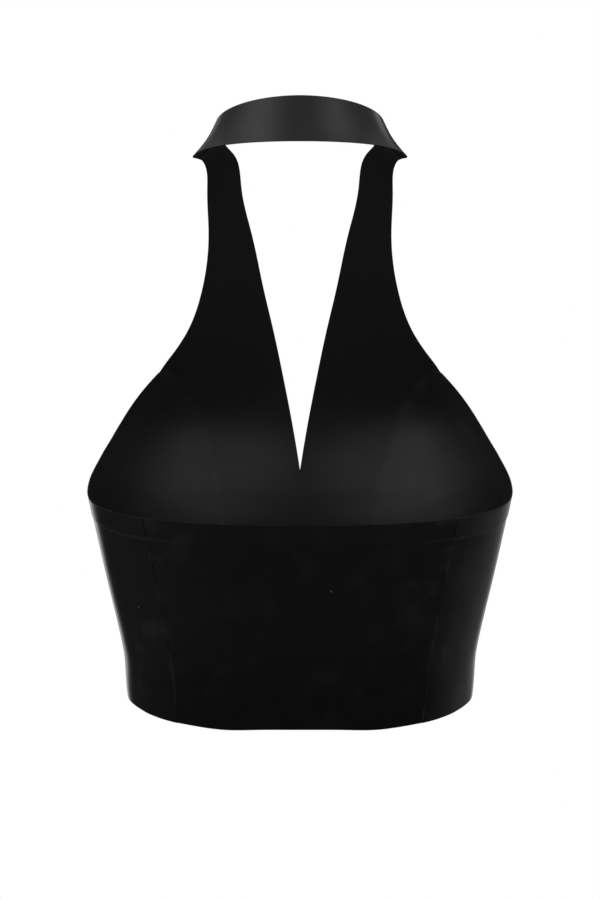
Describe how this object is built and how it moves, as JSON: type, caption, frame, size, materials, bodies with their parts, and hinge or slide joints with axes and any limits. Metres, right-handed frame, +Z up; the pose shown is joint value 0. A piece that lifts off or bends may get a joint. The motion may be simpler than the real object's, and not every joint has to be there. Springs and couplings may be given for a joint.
{
  "type": "halter neck top",
  "caption": "Cropped halter neck top of glossy black sheet latex, with an open back, a flared neck band, panelled sides and a deep V front.",
  "frame": {"origin": "the nape: the middle of the neck band's inner face at the centre back, where the wearer's neck carries the top", "axes": "+Z up, -Y towards the wearer's front, +X towards the wearer's left"},
  "size_m": [0.2922, 0.2189, 0.4077],
  "materials": {
    "latex": "polished glossy sheet latex",
    "latex_trim": "glossy glued latex strip"
  },
  "bodies": {
    "root": {"neck_band": "latex", "back_panel": "latex", "side_panel_left": "latex", "side_panel_right": "latex", "front_panel": "latex", "back_top_trim": "latex_trim", "side_top_trim_left": "latex_trim", "side_top_trim_right": "latex_trim"}
  },
  "joints": []
}
